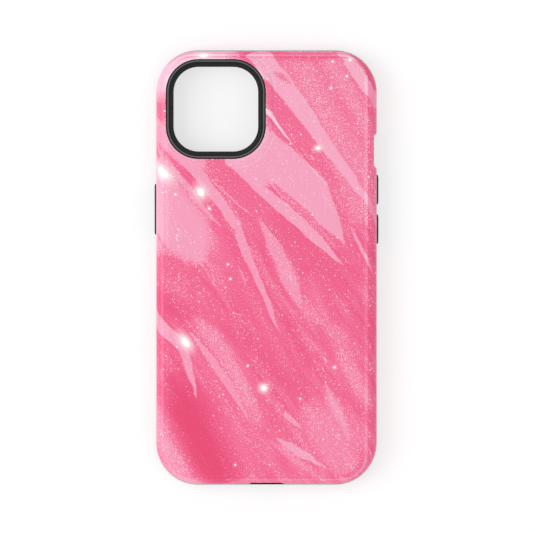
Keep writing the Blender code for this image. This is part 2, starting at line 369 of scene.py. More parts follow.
def face_skin(mesh, face, hole, steps, clear, slot=0):
    """A flat face with a rounded edge. hole is the offset of its opening from the collar's outline."""
    offset, _, radius = face
    inner = []
    for inset in quarter_insets(radius, steps):
        ring = offset_points(PHONE_OUTLINE, offset - inset)
        inner += [p for p in ring if collar_distance(p, hole) > clear]
    inner += grid_points(6, lambda p: inset_of(p, offset) > 3 and collar_distance(p, hole) > 1)
    skin(
        mesh,
        [offset_points(PHONE_OUTLINE, offset), offset_points(COLLAR_OUTLINE, hole)],
        inner,
        lambda p: collar_distance(p, hole) > 0 and inset_of(p, offset) > 0,
        lambda p: face_depth(p, face),
        slot,
    )


def make_shell(print_material, inside_material):
    mesh = bmesh.new()
    window = offset_points(COLLAR_OUTLINE, WINDOW_GAP)
    deepest = SHELL_ROUND + ISLAND_RISE
    inner = []
    for inset in quarter_insets(deepest, 12):
        ring = offset_points(PHONE_OUTLINE, SHELL_OFFSET - inset)
        inner += [p for p in ring if window_distance(p) > 0.45]
    for away in (0.02, 0.07, 0.15, WINDOW_ROUND):
        inner += offset_points(COLLAR_OUTLINE, WINDOW_GAP + away)
    for step in range(1, 14):
        ring = offset_points(COLLAR_OUTLINE, WINDOW_GAP + 0.3 + 0.3 * step)
        inner += [p for p in ring if inset_of(p, SHELL_OFFSET) > deepest + 0.2]
    inner += grid_points(3, lambda p: inset_of(p, SHELL_OFFSET) > deepest + 0.9 and window_distance(p) > 5)
    skin(
        mesh,
        [offset_points(PHONE_OUTLINE, SHELL_OFFSET), window],
        inner,
        lambda p: window_distance(p) > 0 and inset_of(p, SHELL_OFFSET) > 0,
        shell_depth,
    )

    outer, cavity, front, edge = SHELL_OFFSET, CAVITY_OFFSET, SHELL_FRONT, SHELL_RIM_ROUND
    profile = [(outer, SHELL_ROUND), (outer, 5.4), (outer, 7.4)]
    profile += round_profile((outer, front - edge), (outer, front), (outer - edge, front), 4)
    loft(mesh, [phone_ring(offset, depth) for offset, depth in profile])
    profile = [(outer - edge, front)]
    profile += round_profile((cavity + edge, front), (cavity, front), (cavity, front - edge), 4)
    profile.append((cavity, SHELL_FLOOR + CAVITY_ROUND))
    loft(mesh, [phone_ring(offset, depth) for offset, depth in profile], slot=1)

    face_skin(mesh, CAVITY_FACE, WINDOW_GAP, 6, 0.2, slot=1)
    top = [Vector((x, y, FRONT - shell_depth((x, y)))) for x, y in window]
    bottom = [Vector((x, y, FRONT - face_depth((x, y), CAVITY_FACE))) for x, y in window]
    loft(mesh, [top, bottom])
    shell = finish_mesh(mesh, "shell_body", [print_material, inside_material])
    boolean(shell, "DIFFERENCE", shell_cutters())
    settle(shell, "shell", "outer_shell")


def side_block(name, y, length, width, x_span, sign):
    """A round-ended bar through a side wall, level with the middle of the phone."""
    span = sorted(sign * x for x in x_span)
    return block(name, "X", (length, width), span, (y, FRONT - PHONE_MIDDLE), width / 2 - HAIR)


def open_notch(axis, along, length, back, sign):
    """A cutter through one of the shell's walls that is open towards the front rim."""
    low, high = FRONT - SHELL_FRONT - REACH_OUT, FRONT - back
    inner, outer = (PHONE_HALF_X, SHELL_HALF_X) if axis == "X" else (PHONE_HALF_Y, SHELL_HALF_Y)
    span = sorted((sign * inner, sign * (outer + REACH_OUT)))
    return block("notch", axis, (length, high - low), span, (along, (low + high) / 2), BOSS_RIM)


def bosses():
    """(middle Y, length, side) of the liner's pads: one under the side button, one under both volume caps."""
    side, up, down = BUTTONS.values()
    top = up[0] + up[1] / 2 + BOSS_RIM
    bottom = down[0] - down[1] / 2 - BOSS_RIM
    return ((side[0], side[1] + 2 * BOSS_RIM, -1), ((top + bottom) / 2, top - bottom, 1))


def boss_back():
    return PHONE_MIDDLE - CAP_WIDTH / 2 - BOSS_RIM


def switch_recess():
    """The full-depth dip in the right side at the ring switch, with flared ends."""
    size = (SWITCH_RECESS_LENGTH, 4 * FRONT)
    span = (SHELL_HALF_X - SWITCH_RECESS_DEPTH, SHELL_HALF_X + REACH_OUT)
    flare = (SWITCH_RECESS_LENGTH + SWITCH_RECESS_FLARE) / SWITCH_RECESS_LENGTH
    return block("switch_recess", "X", size, span, (SWITCH_Y, FRONT / 2), 0.3, taper=flare)


def port_recess():
    """The shallow full-depth dip in the bottom end at the charging port, with flared ends."""
    reach = 4.0
    far_length = PORT_RECESS_LENGTH + 2 * PORT_RECESS_FLARE * reach / PORT_RECESS_DEPTH
    inner = PORT_RECESS_DEPTH - SHELL_HALF_Y
    size = (far_length, 4 * FRONT)
    taper = PORT_RECESS_LENGTH / far_length
    return block("port_recess", "Y", size, (inner - reach, inner), (0.0, FRONT / 2), 0.3, taper=taper)


def sound_slots(extra):
    """Cutters for the loudspeaker and microphone slots, one each side of the port."""
    size = [width + 2 * extra for width in SOUND_SLOT]
    span = (-SHELL_HALF_Y - REACH_OUT, REACH_IN - PHONE_HALF_Y)
    return [
        block("sound_slot", "Y", size, span, (x, FRONT - PHONE_MIDDLE), size[1] / 2 - HAIR)
        for x in (-SOUND_X, SOUND_X)
    ]


def shell_cutters():
    gaps = 2 * LAYER_GAP
    back = boss_back() - LAYER_GAP
    cutters = [open_notch("X", y, length + gaps, back, sign) for y, length, sign in bosses()]
    cutters.append(open_notch("X", SWITCH_Y, SWITCH_RECESS_LENGTH, SWITCH_BACK, 1))
    cutters.append(open_notch("Y", 0.0, 2 * PORT_HALF_LENGTH + gaps, PORT_BACK - LAYER_GAP, -1))
    return cutters + [switch_recess(), port_recess()] + sound_slots(SOUND_SLOT_GAP)


def liner_profile():
    """(offset, depth, end stretch) round the liner's wall, from its back edge over the lip to the pocket."""
    profile = [(LINER_OFFSET, LINER_BACK + LINER_ROUND, 0.0), (LINER_OFFSET, BUMPER_BACK, 0.0)]
    outer, lip, pocket = SHELL_OFFSET, LIP_OFFSET, POCKET_OFFSET
    bumper = round_profile((outer - 0.15, BUMPER_BACK), (outer, BUMPER_BACK), (outer, 9.95), 3)
    bumper += round_profile((outer, 10.8), (outer, FRONT), (outer - 0.8, FRONT), 6)
    profile += [(*row, BUMPER_PROUD) for row in bumper]
    inner = round_profile((lip + 0.5, FRONT), (lip, FRONT), (lip, 11.2), 4)
    inner += round_profile((lip, 10.7), (lip, LIP_BACK), (lip + 0.25, LIP_BACK), 3)
    inner += round_profile((-0.65, LIP_BACK), (pocket, LIP_BACK), (pocket, 9.6), 4)
    profile += [(*row, 0.0) for row in inner]
    profile.append((POCKET_OFFSET, SEAT + POCKET_ROUND, 0.0))
    return profile


def collar_profile():
    """(offset from the collar's outline, depth) from the collar's side over its top down to the throat."""
    tip = -COLLAR_RISE
    profile = round_profile((0.0, tip + COLLAR_ROUND), (0.0, tip), (-COLLAR_ROUND, tip), 6)
    slope = (THROAT_INSET - MOUTH_INSET) / (SEAT - tip)
    mouth = -MOUTH_INSET
    profile += round_profile((mouth + 0.16, tip), (mouth, tip), (mouth - 0.2 * slope, tip + 0.2), 3)
    profile.append((-THROAT_INSET, SEAT))
    return profile


def liner_pads():
    """The pads on the liner's wall that fill the shell's notches at the buttons and the port."""
    low, high = PAD_FRONT, FRONT - boss_back()
    corner = BOSS_RIM - LAYER_GAP
    pads = []
    for y, length, sign in bosses():
        span = sorted((sign * (PHONE_HALF_X + PAD_INNER), sign * SHELL_HALF_X))
        rounds = (0.0, PAD_ROUND) if sign > 0 else (PAD_ROUND, 0.0)
        pads.append(block("pad", "X", (length, high - low), span, (y, (low + high) / 2), corner, rounds))
    high = FRONT - PORT_BACK
    span = (PORT_RECESS_DEPTH - SHELL_HALF_Y, -PHONE_HALF_Y - PAD_INNER)
    size = (2 * PORT_HALF_LENGTH, high - low)
    pads.append(block("pad", "Y", size, span, (0.0, (high + low) / 2), corner, (PAD_ROUND, 0.0)))
    return pads


def liner_cutters():
    """The openings through the liner's wall, with a recess inside it for each button's foot."""
    through = (PHONE_HALF_X - REACH_IN, SHELL_HALF_X + REACH_OUT)
    cutters = []
    for y, length, sign in BUTTONS.values():
        room = 2 * CLEARANCE
        cutters.append(side_block("aperture", y, length + room, CAP_WIDTH + room, through, sign))
        room += 2 * FOOT_RIM
        recess = (through[0], FOOT_OUTER + CLEARANCE)
        cutters.append(side_block("recess", y, length + room, CAP_WIDTH + room, recess, sign))
    cutters.append(side_block("switch_opening", SWITCH_Y, *SWITCH_OPENING, through, 1))
    span = (-SHELL_HALF_Y - REACH_OUT, REACH_IN - PHONE_HALF_Y)
    cutters.append(block("port", "Y", PORT_OPENING, span, (0.0, FRONT - PHONE_MIDDLE), PORT_CORNER))
    return cutters + [switch_recess()] + sound_slots(0.0)


def make_liner(material, pocket_material):
    mesh = bmesh.new()
    loft(mesh, [phone_ring(*row) for row in liner_profile()])
    foot = offset_points(COLLAR_OUTLINE, 0.0)
    start = [Vector((x, y, FRONT - face_depth((x, y), LINER_FACE))) for x, y in foot]
    loft(mesh, [start] + [collar_ring(*row) for row in collar_profile()])
    face_skin(mesh, LINER_FACE, 0.0, 5, 0.15)
    face_skin(mesh, POCKET_FACE, -THROAT_INSET, 5, 0.2, slot=1)
    liner = finish_mesh(mesh, "liner_body", [material, pocket_material])
    boolean(liner, "UNION", liner_pads())
    boolean(liner, "DIFFERENCE", liner_cutters())
    settle(liner, "liner", "inner_liner")


def make_cap(name, button, material):
    """A crowned button cap on the wider foot that keeps it in the liner."""
    y, length, sign = button
    mesh = bmesh.new()
    half_length, half_width = length / 2, CAP_WIDTH / 2

    def ring(offset, x):
        edge = outline((y, FRONT - PHONE_MIDDLE), half_length, half_width, half_width - HAIR, 10, 1.5)
        return [Vector((sign * x, u + offset * nu, v + offset * nv)) for u, v, nu, nv in edge]

    profile = [(FOOT_RIM, FOOT_INNER), (FOOT_RIM, FOOT_OUTER - 0.1), (FOOT_RIM - 0.1, FOOT_OUTER)]
    profile += [(0.1, FOOT_OUTER), (0.0, FOOT_OUTER + 0.1)]
    profile += round_profile((0.0, CAP_TOP - 0.45), (0.0, CAP_TOP - 0.1), (-0.45, CAP_TOP - 0.1), 6)
    profile += [(-0.8, CAP_TOP - 0.04), (-1.2, CAP_TOP - 0.01), (-1.55, CAP_TOP)]
    loft(mesh, [ring(offset, x) for offset, x in profile], closed_ends=True)
    cap = finish_mesh(mesh, f"{name}_cap_piece", [material])
    settle(cap, f"{name}_cap", f"{name}_button")


# The print's lightness values, each with the colour that it stands for
PALETTE = [
    (0.0, (229, 70, 114)),
    (0.2, (234, 88, 132)),
    (0.4, (238, 98, 140)),
    (0.55, (241, 110, 150)),
    (0.7, (243, 131, 167)),
    (0.88, (242, 154, 184)),
    (1.0, (244, 167, 194)),
    (1.2, (250, 196, 217)),
    (1.4, (253, 220, 232)),
]


def to_linear(colour):
    """An 8-bit screen colour as the linear colour that the shaders take."""
    parts = [value / 255 for value in colour]
    return tuple(v / 12.92 if v <= 0.04045 else ((v + 0.055) / 1.055) ** 2.4 for v in parts) + (1.0,)


class Graph:
    """A node tree with short calls for the nodes that the materials are made of."""

    def __init__(self, tree):
        self.tree = tree

    def node(self, kind, inputs=(), **settings):
        made = self.tree.nodes.new("ShaderNode" + kind)
        for name, value in settings.items():
            setattr(made, name, value)
        for name, value in dict(inputs).items():
            self.feed(made.inputs[name], value)
        return made

    def feed(self, socket, value):
        if isinstance(value, bpy.types.NodeSocket):
            self.tree.links.new(value, socket)
        else:
            socket.default_value = value

    def math(self, operation, *values, clamp=False):
        made = self.node("Math", operation=operation, use_clamp=clamp)
        for socket, value in zip(made.inputs, values):
            self.feed(socket, value)
        return made.outputs[0]

    def vector(self, operation, *values):
        made = self.node("VectorMath", operation=operation)
        for socket, value in zip(made.inputs, values):
            self.feed(socket, value)
        return made.outputs[1 if operation == "LENGTH" else 0]

    def split(self, vector):
        return self.node("SeparateXYZ", {"Vector": vector}).outputs

    def range(self, value, low, high, out_low=0.0, out_high=1.0, smooth_step=False):
        kind = "SMOOTHSTEP" if smooth_step else "LINEAR"
        inputs = {"Value": value, "From Min": low, "From Max": high, "To Min": out_low, "To Max": out_high}
        return self.node("MapRange", inputs, interpolation_type=kind, clamp=True).outputs["Result"]

    def noise(self, vector, scale, detail, roughness=0.5):
        inputs = {"Vector": vector, "Scale": scale, "Detail": detail, "Roughness": roughness}
        return self.node("TexNoise", inputs).outputs["Fac"]

    def place(self, vector, location, degrees, scale):
        """The vector as seen from an axis at a location, turned by an angle and with its own scale."""
        turn = (0.0, 0.0, math.radians(degrees))
        inputs = {"Vector": vector, "Location": location, "Rotation": turn, "Scale": scale}
        return self.node("Mapping", inputs, vector_type="TEXTURE").outputs["Vector"]

    def with_height(self, vector, value):
        """The vector with a value carried in its Z."""
        x, y, _ = self.split(vector)
        return self.node("CombineXYZ", {"X": x, "Y": y, "Z": value}).outputs["Vector"]

    def scaled(self, vector, factor):
        made = self.vector("SCALE", vector)
        self.feed(made.node.inputs["Scale"], factor)
        return made

    def group(self, tree, inputs):
        made = self.tree.nodes.new("ShaderNodeGroup")
        made.node_tree = tree
        for name, value in inputs.items():
            self.feed(made.inputs[name], value)
        return made.outputs[0]


def new_group(name, inputs, output):
    """A node group with float inputs (or a vector called Place) and one float output."""
    tree = bpy.data.node_groups.new(name, "ShaderNodeTree")
    for item in inputs:
        kind = "NodeSocketVector" if item == "Place" else "NodeSocketFloat"
        tree.interface.new_socket(item, in_out="INPUT", socket_type=kind)
    tree.interface.new_socket(output, in_out="OUTPUT", socket_type="NodeSocketFloat")
    graph = Graph(tree)
    source = tree.nodes.new("NodeGroupInput").outputs
    target = tree.nodes.new("NodeGroupOutput").inputs[0]
    return graph, source, target


def stroke_group():
    """One streak of the marbling, painted over the lightness so far.

    Place holds the way along the streak from 0 to 1, the millimetres across it and the lightness so far. The
    streak bends sideways, changes width evenly and narrows to a point over a part of its length at each end.
    """
    names = ["Place", "Half width", "Widening", "Bend", "Start", "End", "Edge", "Value", "Strength"]
    graph, source, target = new_group("marble streak", names, "Value")
    along, across, base = graph.split(source["Place"])
    left = graph.math("SUBTRACT", 1.0, along, clamp=True)
    gone = graph.math("SUBTRACT", 1.0, left)
    bow = graph.math("MULTIPLY", gone, left)
    bow = graph.math("MULTIPLY", bow, source["Bend"])
    away = graph.math("ABSOLUTE", graph.math("SUBTRACT", across, bow))
    start = graph.math("MULTIPLY", along, source["Start"], clamp=True)
    end = graph.math("MULTIPLY", left, source["End"], clamp=True)
    tip = graph.math("MULTIPLY", start, end)
    width = graph.math("MULTIPLY_ADD", gone, source["Widening"], source["Half width"])
    inside = graph.math("SUBTRACT", graph.math("MULTIPLY", width, tip), away)
    middle = graph.math("MULTIPLY", graph.math("MULTIPLY", tip, 3.0, clamp=True), 0.5)
    mask = graph.math("MULTIPLY_ADD", inside, source["Edge"], middle)
    mask = graph.range(mask, 0.0, 1.0, 0.0, source["Strength"], smooth_step=True)
    change = graph.math("SUBTRACT", source["Value"], base)
    graph.feed(target, graph.math("MULTIPLY_ADD", change, mask, base))
    return graph.tree


def glint_group():
    """One bright glint, a white core of radius 1 in a soft halo, added to the brightness in Place's Z."""
    graph, source, target = new_group("glint", ["Place", "Glow"], "Value")
    x, y, base = graph.split(source["Place"])
    away = graph.math("SQRT", graph.math("MULTIPLY_ADD", x, x, graph.math("MULTIPLY", y, y)))
    core = graph.range(away, 1.15, 0.55, smooth_step=True)
    halo = graph.math("POWER", graph.range(away, 4.2, 0.6), 2.4)
    light = graph.math("MULTIPLY_ADD", halo, source["Glow"], core)
    graph.feed(target, graph.math("ADD", base, light))
    return graph.tree


# The marbling: fine streaks all over, in the direction of its flow, that change the ground's lightness. The
# wobble is the sideways wander of all streaks in millimetres.
GROUND_LIGHTNESS = 0.43
GROUND_CHANGE = 0.22
FLOW_DEGREES = -57.0
FLOW_STRETCH = 9.0
WOBBLE = 2.4

# Lightness that holds the most glitter, between the ground and the veins
GLITTER_LIGHTNESS = 0.69

# Streaks in millimetres seen from the back: start, end, half width at each, bend to the left, lengths of the
# pointed ends as parts of the whole, softness of the edge, lightness and strength
STREAKS = [
    # broad soft grounds
    ((10, 84), (44, 14), (12, 12), 0, (0.1, 0.1), 7, 0.66, 1),
    ((12, 80), (38, 36), (1.6, 1.6), 1, (0.3, 0.3), 2.5, 0.52, 0.8),
    ((20, 76), (41, 40), (1.2, 1.2), 1, (0.3, 0.3), 2, 0.8, 0.6),
    ((-46, 66), (-8, 80), (9, 9), 0, (0.1, 0.3), 5, 1.15, 1),
    ((-42, 58), (-30, 48), (3, 3), 0, (0.1, 0.1), 1.5, 0.5, 1),
    ((-42, 50), (-20, 34), (4, 4), 0, (0.1, 0.3), 2, 0.9, 1),
    ((-22, 41), (16, 3), (3.5, 7), 0, (0.1, 0.3), 1.5, 0.44, 1),
    ((-24, 17), (-12, -3), (3.6, 3.6), 0, (0.4, 0.4), 4, 0.68, 0.8),
    ((2, 24), (30, -12), (7, 7), 0, (0.3, 0.3), 7, 0.3, 0.9),
    ((-46, 31), (-21, 0), (9.5, 9), 2, (0.02, 0.3), 3, 0.9, 1),
    ((-45.7, 5.9), (-19.7, -8.5), (3.6, 3.6), 0, (0.01, 0.3), 0.6, 0.42, 1),
    ((-41, 40), (-41, 2), (5, 5), 0, (0.1, 0.2), 4, 1.08, 0.8),
    ((-18, 12), (6, -34), (4, 4), 0, (0.3, 0.3), 6, 0.42, 0.8),
    ((-38, -6), (-8, -33), (3, 3), 0, (0.2, 0.3), 5, 0.6, 0.8),
    ((-42, -8), (-26, -20), (3.2, 3.2), 0, (0.1, 0.5), 4, 0.14, 1),
    ((-38, -8), (-2, -30), (2.4, 2.4), -1, (0.3, 0.3), 3.5, 0.24, 0.9),
    ((-12, -21), (15, -47), (3, 3), 0, (0.3, 0.3), 4, 0.26, 0.9),
    ((-19, -38), (-6, -78), (5, 5), 0, (0.3, 0.1), 7, 0.58, 0.8),
    ((4, -14), (17, -38), (1.8, 1.8), 0, (0.4, 0.4), 2.5, 0.2, 0.85),
    ((13, 2), (26, -22), (2.2, 2.2), 0, (0.4, 0.4), 2.5, 0.2, 0.9),
    ((14, 0), (34, -44), (2.4, 2.4), -1, (0.2, 0.3), 4, 0.66, 0.9),
    ((24, -28), (39, -52), (3, 3), 0, (0.4, 0.3), 4, 0.76, 0.85),
    ((12, -46), (34, -76), (9, 9), 0, (0.3, 0.3), 8, 0.76, 0.85),
    ((19.5, -40), (30.5, -63), (1.6, 1), 0.3, (0.3, 0.4), 1.5, 0.95, 0.85),
    ((-36, -34), (-16, -80), (7, 7), 1, (0.35, 0.05), 8, -0.1, 1),
    ((-42, -44), (-24, -82), (3.8, 3.8), -2.5, (0.3, 0.05), 4, 0.86, 0.95),
    ((-10, -48), (10, -80), (4, 4), 0, (0.3, 0.1), 6, 0.55, 0.7),
    # glittery bands
    ((-27, -15), (-1, -59), (3, 2.6), 2.6, (0.2, 0.3), 2.5, 0.76, 0.9),
    ((-4, 20), (12.5, -14), (2, 3), 0.4, (0.4, 0.2), 0.9, 0.84, 0.95),
    ((8, -8), (20, -22), (2.4, 2.4), 0, (0.4, 0.4), 3, 0.72, 0.8),
    ((-1, 64), (27, 26), (3.2, 3.2), 0, (0.1, 0.3), 1.6, 0.46, 0.9),
    ((-3, 75), (26, 75), (1.9, 1.9), 0, (0.2, 0.1), 1.5, 0.46, 0.85),
    # crisp veins
    ((-4.7, 78), (42, 14.3), (4.2, 0.7), 0.6, (0.01, 0.03), 0.35, 0.98, 1),
    ((2.5, 69.5), (9.3, 64), (1, 1.1), 0, (0.3, 0.5), 0.6, 0.6, 0.95),
    ((17, 44), (26, 31), (0.13, 0.13), 0, (0.3, 0.3), 0.2, 0.95, 0.8),
    ((-10, 46), (28.5, 6.5), (8, 6.5), 4.2, (0.01, 0.42), 0.5, 0.93, 1),
    ((-15, 39.5), (2, 28), (1.8, 1.5), 0, (0.1, 0.3), 0.5, 0.93, 1),
    ((-1, 32.5), (27.5, 3.5), (1.4, 2.2), 1, (0.45, 0.5), 0.35, 0.58, 1),
    ((-15, 38), (28, 0), (2, 2.3), 1.1, (0.35, 0.3), 0.25, 0.92, 1),
    ((-0.5, 56.5), (10.5, 42), (0.8, 0.8), -0.3, (0.1, 0.8), 0.25, 1.2, 1),
    ((9, 44), (21, 29), (0.16, 0.16), 0, (0.3, 0.3), 0.2, 1.1, 0.8),
    ((-42, 52), (-8.5, 11), (2.5, 1.7), 1.9, (0.01, 0.08), 0.4, 0.9, 1),
    ((-12, 16.5), (5.8, -26), (1.7, 0.7), 0.3, (0.12, 0.3), 0.3, 0.85, 1),
    ((-10.2, 1.5), (-7, -7.5), (0.3, 0.3), 0, (0.3, 0.4), 0.5, 0.78, 0.9),
    ((-42, 46), (-14, 12), (1.1, 1.1), -0.5, (0.2, 0.4), 0.35, 0.84, 1),
    ((-23, 27), (-12.5, 11), (1.1, 1.1), 0, (0.4, 0.4), 0.4, 0.4, 0.9),
    ((-42, 47.5), (-25, 29), (0.35, 0.35), 0, (0.2, 0.4), 0.4, 0.5, 0.8),
    ((-20, 32), (-4, 17), (0.25, 0.2), 0, (0.2, 0.3), 0.25, 0.95, 0.9),
    ((-2.5, 17.5), (6.5, 6), (0.2, 0.2), 0, (0.3, 0.3), 0.2, 0.98, 0.9),
    ((26, 78.5), (41, 56), (2.2, 2.2), 0, (0.01, 0.05), 0.3, 1, 1),
    ((34.5, 79), (42, 62), (3.4, 3.4), 0, (0.01, 0.1), 0.5, 0.3, 1),
    ((29, 16), (39, -5), (0.55, 0.55), 0.1, (0.3, 0.3), 0.3, 0.9, 1),
    ((-43, -15.5), (-28, -29), (2.2, 2.3), 0, (0.01, 0.12), 0.35, 0.92, 1),
    ((-30.3, -26.5), (-24.3, -48), (1.9, 0.8), 0.3, (0.05, 0.45), 0.3, 0.86, 1),
    ((-28.5, -20.5), (-4.5, -57), (1.3, 1.3), 1.1, (0.3, 0.4), 0.3, 0.82, 1),
    ((2, -60), (22, -71.3), (1.35, 1.35), 0, (0.35, 0.45), 0.35, 0.92, 1),
    ((-1, -60), (23, -77), (1, 1), 0, (0.3, 0.3), 1.2, 0.78, 0.8),
    ((6, -51.6), (12.6, -57.2), (0.9, 0.8), 0, (0.2, 0.4), 0.3, 0.86, 1),
    ((-3, -59), (3, -66), (0.12, 0.12), 0, (0.3, 0.3), 0.2, 0.9, 0.7),
    ((-40, 12), (-33, 4), (0.45, 0.45), 0, (0.1, 0.5), 0.4, 0.55, 0.8),
]

# Flakes of glitter by size: cells to a millimetre, share of the cells that hold a flake where there is no
# glitter and what full glitter adds to it, radius in millimetres and brightness
FLAKES = ((2.4, 0.02, 0.36, 0.2, 0.7), (0.9, 0.03, 0.12, 0.26, 0.8), (0.25, 0.25, 0.0, 0.32, 1.0))

# Glints: place, half length, half width, direction of the long axis and strength of the halo
GLINTS = [
    ((-36.8, 33.6), 2.4, 1.3, -38.0, 0.9),
    ((-28.6, -26.4), 1.75, 0.95, -55.0, 0.9),
    ((-1.0, -42.6), 0.85, 0.82, 0.0, 0.9),
    ((-23.3, 26.6), 1.5, 1.1, -60.0, 0.8),
    ((-20.2, 20.9), 0.5, 0.36, -60.0, 0.4),
    ((-22.3, 75.2), 1.5, 1.1, 0.0, 0.6),
    ((18.2, 42.2), 0.75, 0.6, 0.0, 0.7),
    ((29.6, 73.6), 0.6, 0.55, 0.0, 0.4),
    ((28.4, 67.6), 0.38, 0.34, 0.0, 0.35),
    ((22.8, 63.4), 0.36, 0.36, 0.0, 0.35),
    ((23.4, 72.8), 0.36, 0.34, 0.0, 0.35),
    ((24.1, -35.3), 0.38, 0.36, 0.0, 0.4),
    ((11.9, -46.4), 0.3, 0.28, 0.0, 0.3),
    ((-12.8, -4.0), 0.34, 0.32, 0.0, 0.3),
    ((-13.6, 1.1), 0.34, 0.32, 0.0, 0.3),
    ((-31.6, 11.3), 0.3, 0.28, 0.0, 0.2),
    ((-32.2, 25.8), 0.36, 0.32, 0.0, 0.25),
    ((-6.6, -34.7), 0.32, 0.3, 0.0, 0.3),
    ((-11.1, -69.8), 0.32, 0.3, 0.0, 0.3),
]


def print_place(graph):
    """Where the print lies, in millimetres: it runs straight down the walls from the back's edge."""
    coordinates = graph.node("TexCoord").outputs
    spot = graph.scaled(coordinates["Object"], 1 / MM)
    z = graph.split(spot)["Z"]
    depth = graph.math("SUBTRACT", FRONT, z)
    outwards = graph.vector("MULTIPLY", coordinates["Normal"], (1.0, 1.0, 0.0))
    flat = graph.vector("MULTIPLY", spot, (1.0, 1.0, 0.0))
    return graph.vector("ADD", flat, graph.scaled(outwards, depth))


def outside_nodes(graph, place, half_x, half_y, corner):
    """Distance outside a rounded rectangle round the origin; negative inside."""
    x, y, _ = graph.split(place)
    across = graph.math("SUBTRACT", graph.math("ABSOLUTE", x), half_x - corner)
    along = graph.math("SUBTRACT", graph.math("ABSOLUTE", y), half_y - corner)
    past = {"X": graph.math("MAXIMUM", across, 0.0), "Y": graph.math("MAXIMUM", along, 0.0)}
    reach = graph.vector("LENGTH", graph.node("CombineXYZ", past).outputs["Vector"])
    within = graph.math("MINIMUM", graph.math("MAXIMUM", across, along), 0.0)
    return graph.math("SUBTRACT", graph.math("ADD", reach, within), corner)


def painted_edge_light(graph, place):
    """Painted light and shade along the rounded edge of the back, as changes of the lightness.

    A thin painted highlight line runs all round where the edge starts to turn down. The band outside it is
    painted in shade: deeper on the right and along the top, a little deeper on the left. Along the bottom it
    is painted paler. Inside the highlight line lies a painted dark line of shade along the top and the
    bottom, with a wider one at the lower right corner.
    """
    x, y, _ = graph.split(place)
    outwards = outside_nodes(graph, place, BORDER_HALF_X, BORDER_HALF_Y, BORDER_CORNER)
    # Painted shade outside the line: deeper on the right, along the top and a little on the left; paler at
    # the bottom
    right = graph.math("MULTIPLY", graph.range(x, 28.0, 36.0), graph.range(y, -30.0, 15.0, -0.1, -0.22))
    side = graph.math("ADD", right, graph.range(x, -36.0, -28.0, -0.04, 0.0))
    side = graph.math("ADD", side, graph.range(y, 72.0, 75.0, 0.0, -0.2))
    side = graph.math("ADD", side, graph.range(y, -74.0, -66.0, 0.08, 0.0))
    change = graph.math("MULTIPLY", graph.range(outwards, 0.1, 0.35), side)
    # The painted highlight line, brighter towards the right and along the bottom
    line = graph.range(graph.math("ABSOLUTE", graph.math("ADD", outwards, 0.4)), 0.7, 0.4)
    pale = graph.math("ADD", graph.range(x, -36.0, 0.0, 0.06, 0.16), graph.range(y, -74.0, -66.0, 0.04, 0.0))
    change = graph.math("MULTIPLY_ADD", line, pale, change)
    # A painted dark line of shade inside it along the top and the bottom
    shade_line = graph.range(graph.math("ABSOLUTE", graph.math("ADD", outwards, 1.2)), 0.5, 0.2)
    ends = graph.math("ADD", graph.range(y, 72.0, 75.0, 0.0, -0.32), graph.range(y, -74.0, -66.0, -0.06, 0.0))
    change = graph.math("MULTIPLY_ADD", shade_line, ends, change)
    # Wider painted shade inside it at the lower right corner
    corner = graph.math("MULTIPLY", graph.range(x, 22.0, 32.0), graph.range(y, -72.0, -62.0, -0.2, 0.0))
    inner = graph.range(graph.math("ABSOLUTE", graph.math("ADD", outwards, 2.0)), 1.0, 0.3)
    return graph.math("MULTIPLY_ADD", inner, corner, change)


def painted_window_light(graph, place):
    """Painted light round the camera window, added to the lightness.

    A painted highlight on the window's rounded edge, a faint painted sheen over the swell and a painted
    highlight line at the swell's foot; the sheen and the line are stronger towards the right.
    """
    seen = graph.vector("SUBTRACT", place, (*CAMERA, 0.0))
    half = COLLAR_HALF + WINDOW_GAP
    away = outside_nodes(graph, seen, half, half, COLLAR_CORNER + WINDOW_GAP)
    # A painted highlight on the window's edge, a painted highlight line at the swell's foot and a faint
    # painted sheen
    edge = graph.range(away, 0.7, 0.2, 0.0, 0.2)
    from_foot = graph.math("ABSOLUTE", graph.math("SUBTRACT", away, SWELL_FOOT - 0.2))
    foot = graph.range(from_foot, 0.4, 0.1, 0.0, 0.1)
    painted_sheen = graph.range(away, SWELL_FOOT, 0.8, 0.0, 0.08)
    change = graph.math("ADD", foot, painted_sheen)
    x, _, _ = graph.split(seen)
    change = graph.math("MULTIPLY", change, graph.range(x, -5.0, 10.0, 0.2, 1.0))
    return graph.math("ADD", change, edge)


def calm_part(graph, place):
    """1 over the lower right of the back, where there is less grain and glitter, and 0 over the rest."""
    x, y, _ = graph.split(place)
    return graph.math("MULTIPLY", graph.range(x, 4.0, 20.0), graph.range(y, -48.0, -38.0, 1.0, 0.0))


def sparkle(graph, place, per_mm, share, radius, bright):
    """Tiny white flakes: share is how many of the cells hold one, from 0 to 1."""
    inputs = {"Vector": place, "Scale": per_mm, "Randomness": 1.0}
    cells = graph.node("TexVoronoi", inputs, voronoi_dimensions="2D").outputs
    chance, size, shine = graph.split(cells["Color"])
    chosen = graph.math("LESS_THAN", chance, share)
    reach = graph.range(size, 0.0, 1.0, 0.4 * radius * per_mm, radius * per_mm)
    dot = graph.math("SUBTRACT", 1.4, graph.math("DIVIDE", cells["Distance"], reach), clamp=True)
    shine = graph.math("MULTIPLY", graph.range(shine, 0.0, 1.0, 0.3 * bright, bright), chosen)
    return graph.math("MULTIPLY", dot, shine)


def flow_places(graph, place):
    """The place with the sideways wander of the streaks, and that place stretched along the flow."""
    wobble = graph.node("TexNoise", {"Vector": place, "Scale": 0.11, "Detail": 2.0}).outputs["Color"]
    wobble = graph.vector("SUBTRACT", wobble, (0.5, 0.5, 0.5))
    flowing = graph.vector("ADD", place, graph.scaled(wobble, WOBBLE))
    return flowing, graph.place(flowing, (0.0, 0.0, 0.0), FLOW_DEGREES, (FLOW_STRETCH, 1.0, 1.0))


